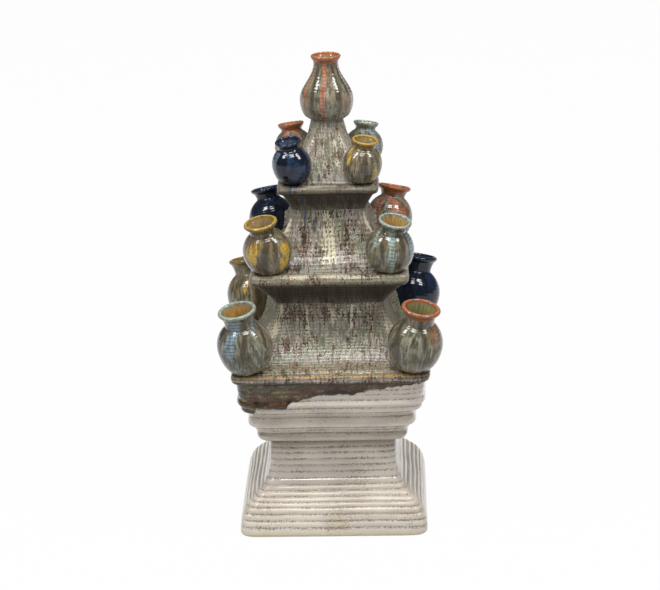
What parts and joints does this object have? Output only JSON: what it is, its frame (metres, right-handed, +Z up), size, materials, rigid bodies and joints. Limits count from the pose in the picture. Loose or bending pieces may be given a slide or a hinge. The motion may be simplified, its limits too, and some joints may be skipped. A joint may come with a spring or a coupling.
{
  "type": "flower tower vase",
  "caption": "Four-sided glazed stoneware flower tower: ribbed pedestal, stepped shelves with a leaning bud vase at each corner, and a pear-shaped vase on top.",
  "frame": {"origin": "centre of the pedestal's underside, on the surface that it stands on", "axes": "+Z up the tower, -Y out of the front face, +X to the right as seen from the front"},
  "size_m": [0.2354, 0.2354, 0.5013],
  "materials": {
    "white_glaze": "glossy off-white glaze with brown iron specks, thinner and greyer in the grooves",
    "tower_glaze": "glossy grey-olive run glaze streaked with lavender, amber and dark brown",
    "orange_glaze": "glossy orange-red rim and runs over grey-olive glaze",
    "yellow_glaze": "glossy yellow-ochre rim and runs over grey-olive glaze",
    "celadon_glaze": "glossy pale blue-green rim and runs over grey-olive glaze",
    "cobalt_glaze": "glossy dark cobalt-blue glaze"
  },
  "bodies": {
    "root": {"pedestal_foot": "white_glaze", "pedestal_coping": "white_glaze", "lower_shelf": "tower_glaze", "lower_bell": "tower_glaze", "lower_cup": "tower_glaze", "middle_shelf": "tower_glaze", "middle_bell": "tower_glaze", "middle_cup": "tower_glaze", "upper_shelf": "tower_glaze", "upper_bell": "tower_glaze", "lower_vase_front_left": "celadon_glaze", "lower_vase_front_right": "orange_glaze", "lower_vase_back_left": "yellow_glaze", "lower_vase_back_right": "cobalt_glaze", "middle_vase_front_left": "yellow_glaze", "middle_vase_front_right": "celadon_glaze", "middle_vase_back_left": "cobalt_glaze", "middle_vase_back_right": "orange_glaze", "upper_vase_front_left": "cobalt_glaze", "upper_vase_front_right": "yellow_glaze", "upper_vase_back_left": "orange_glaze", "upper_vase_back_right": "celadon_glaze", "finial_vase": "orange_glaze"}
  },
  "joints": []
}
